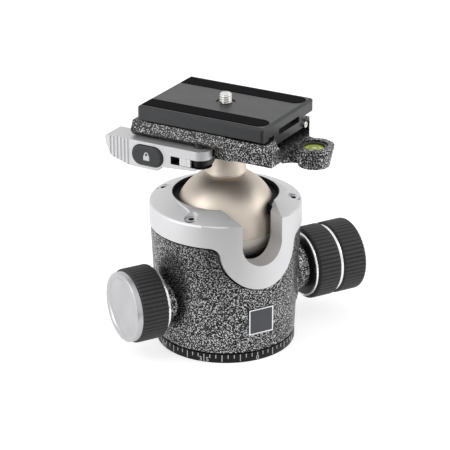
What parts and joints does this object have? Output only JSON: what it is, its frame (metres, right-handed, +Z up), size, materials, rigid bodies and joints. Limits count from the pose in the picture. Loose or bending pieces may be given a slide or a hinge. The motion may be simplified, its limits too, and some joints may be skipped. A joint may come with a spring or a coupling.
{
  "type": "tripod ball head",
  "caption": "Locking tripod ball head with a panning base, drop notch, lock, friction and pan knobs, lever clamp with level, and a camera plate.",
  "frame": {"origin": "centre of the tripod thread at the base's underside", "axes": "+Z up along the pan axis; +X towards the lock and friction knobs; the drop notch faces -Y"},
  "size_m": [0.1381, 0.0987, 0.1351],
  "materials": {
    "speckled_paint": "textured speckled paint",
    "collar_silver": "satin",
    "ball_champagne": "fine turned",
    "grip_rubber": "matte",
    "hub_black": "satin anodised",
    "bright_ring": "diamond cut",
    "cap_silver": "spun",
    "badge_dark": "satin",
    "seat_black": "low friction polymer",
    "washer_polymer": "smooth",
    "bare_aluminium": "machined",
    "bare_steel": "machined",
    "bush_brass": "machined",
    "button_grey": "fine texture",
    "plate_black": "bead blasted anodised",
    "pad_rubber": "matte",
    "level_dark": "satin",
    "level_green": "clear tinted"
  },
  "bodies": {
    "base": {"base_disc": "hub_black", "pan_scale_ring": "hub_black", "tripod_bush": "bare_steel", "pan_spindle": "bare_aluminium", "base_screws": "bare_steel", "pan_washer_lower": "washer_polymer", "pan_retainer": "bare_aluminium"},
    "housing": {"housing_shell": "speckled_paint", "top_collar": "collar_silver", "seat_ring": "seat_black", "collar_screws": "bare_steel", "badge_frame": "bright_ring", "badge_plate": "badge_dark", "lock_bush": "bush_brass", "pan_lock_bush": "bush_brass", "wedge_guide": "bare_aluminium", "pan_washer_upper": "washer_polymer"},
    "liner": {"ball_liner": "seat_black"},
    "ball": {"ball_upper": "ball_champagne", "ball_lower": "ball_champagne"},
    "lock_knob": {"lock_knob_hub": "hub_black", "lock_knob_grip": "grip_rubber", "lock_knob_ring": "bright_ring", "lock_screw": "bare_steel"},
    "friction_knob": {"friction_hub": "hub_black", "friction_grip": "grip_rubber", "friction_ring": "bright_ring", "friction_cap": "cap_silver", "friction_rod": "bare_steel"},
    "lock_wedge": {"lock_wedge": "bare_steel", "friction_spring": "bare_steel"},
    "pressure_cup": {"pressure_cup": "seat_black"},
    "pan_knob": {"pan_knob_hub": "hub_black", "pan_knob_grip": "grip_rubber", "pan_knob_ring": "bright_ring", "pan_knob_cap": "cap_silver", "pan_lock_screw": "bare_steel"},
    "pan_shoe": {"pan_shoe": "bare_steel"},
    "clamp": {"clamp_body": "speckled_paint", "level_bezel": "level_dark", "level_vial": "level_green", "level_bubble": "level_green", "stem_bolt": "bare_steel", "lever_pin": "bare_steel", "jaw_guide_pins": "bare_steel", "jaw_springs": "bare_steel"},
    "jaw": {"moving_jaw": "speckled_paint"},
    "lever": {"lever_arm": "collar_silver", "lever_cam": "bare_steel", "button_spring": "bare_steel"},
    "lock_button": {"lock_button": "button_grey"},
    "latch": {"latch_slider": "collar_silver"},
    "plate": {"plate_body": "plate_black", "pad_front": "pad_rubber", "pad_rear": "pad_rubber", "plate_stop_screws": "bare_steel", "screw_clip": "bare_steel"},
    "camera_screw": {"camera_screw": "bare_steel"}
  },
  "joints": [
    {"name": "pan", "type": "hinge", "parent": "base", "child": "housing", "pos_m": [0, 0, 0.012], "axis": [0, 0, 1], "continuous": true},
    {"name": "side_tilt", "type": "hinge", "parent": "housing", "child": "liner", "pos_m": [0, 0, 0.0672], "axis": [0, 1, 0], "range_deg": [-25, 25]},
    {"name": "front_tilt", "type": "hinge", "parent": "liner", "child": "ball", "pos_m": [0, 0, 0.0672], "axis": [1, 0, 0], "range_deg": [-25, 90]},
    {"name": "swivel", "type": "hinge", "parent": "ball", "child": "clamp", "pos_m": [0, 0, 0.1], "axis": [0, 0, 1], "continuous": true},
    {"name": "lever_swing", "type": "hinge", "parent": "clamp", "child": "lever", "pos_m": [-0.0216, -0.0126, 0.108], "axis": [0, 0, 1], "range_deg": [0, 100]},
    {"name": "jaw_slide", "type": "slide", "parent": "clamp", "child": "jaw", "axis": [-0.8536, -0.521, 0], "range_m": [0, 0.0023]},
    {"name": "button_press", "type": "slide", "parent": "lever", "child": "lock_button", "axis": [0.8536, 0.521, 0], "range_m": [0, 0.0015], "stiffness_N_per_m": 400, "springref_m": -0.002},
    {"name": "latch_slide", "type": "slide", "parent": "lever", "child": "latch", "axis": [-0.521, 0.8536, 0], "range_m": [0, 0.00201]},
    {"name": "plate_slide", "type": "slide", "parent": "clamp", "child": "plate", "axis": [0.521, -0.8536, 0], "range_m": [-0.02, 0.02]},
    {"name": "camera_screw_turn", "type": "hinge", "parent": "plate", "child": "camera_screw", "pos_m": [0, 0, 0.125], "axis": [0, 0, 1], "continuous": true},
    {"name": "lock_knob_turn", "type": "hinge", "parent": "housing", "child": "lock_knob", "pos_m": [0.05, 0, 0.0304], "axis": [1, 0, 0], "range_deg": [0, 360]},
    {"name": "wedge_slide", "type": "slide", "parent": "housing", "child": "lock_wedge", "axis": [-1, 0, 0], "range_m": [0, 0.00126]},
    {"name": "cup_drop", "type": "slide", "parent": "housing", "child": "pressure_cup", "axis": [0, 0, -1], "range_m": [0, 0.00034]},
    {"name": "friction_knob_turn", "type": "hinge", "parent": "housing", "child": "friction_knob", "pos_m": [0.07, 0, 0.0304], "axis": [1, 0, 0], "range_deg": [0, 270]},
    {"name": "pan_knob_turn", "type": "hinge", "parent": "housing", "child": "pan_knob", "pos_m": [-0.05, 0, 0.0288], "axis": [-1, 0, 0], "range_deg": [0, 360]},
    {"name": "pan_shoe_slide", "type": "slide", "parent": "housing", "child": "pan_shoe", "axis": [-1, 0, 0], "range_m": [0, 0.00126]}
  ],
  "couplings": [
    {"joint": "jaw_slide", "follows": "lever_swing", "m_per_rad": 0.001317},
    {"joint": "latch_slide", "follows": "button_press", "ratio": 1.3333},
    {"joint": "wedge_slide", "follows": "lock_knob_turn", "m_per_rad": 0.00019894},
    {"joint": "cup_drop", "follows": "lock_knob_turn", "m_per_rad": 0.000053307},
    {"joint": "pan_shoe_slide", "follows": "pan_knob_turn", "m_per_rad": 0.00019894}
  ]
}
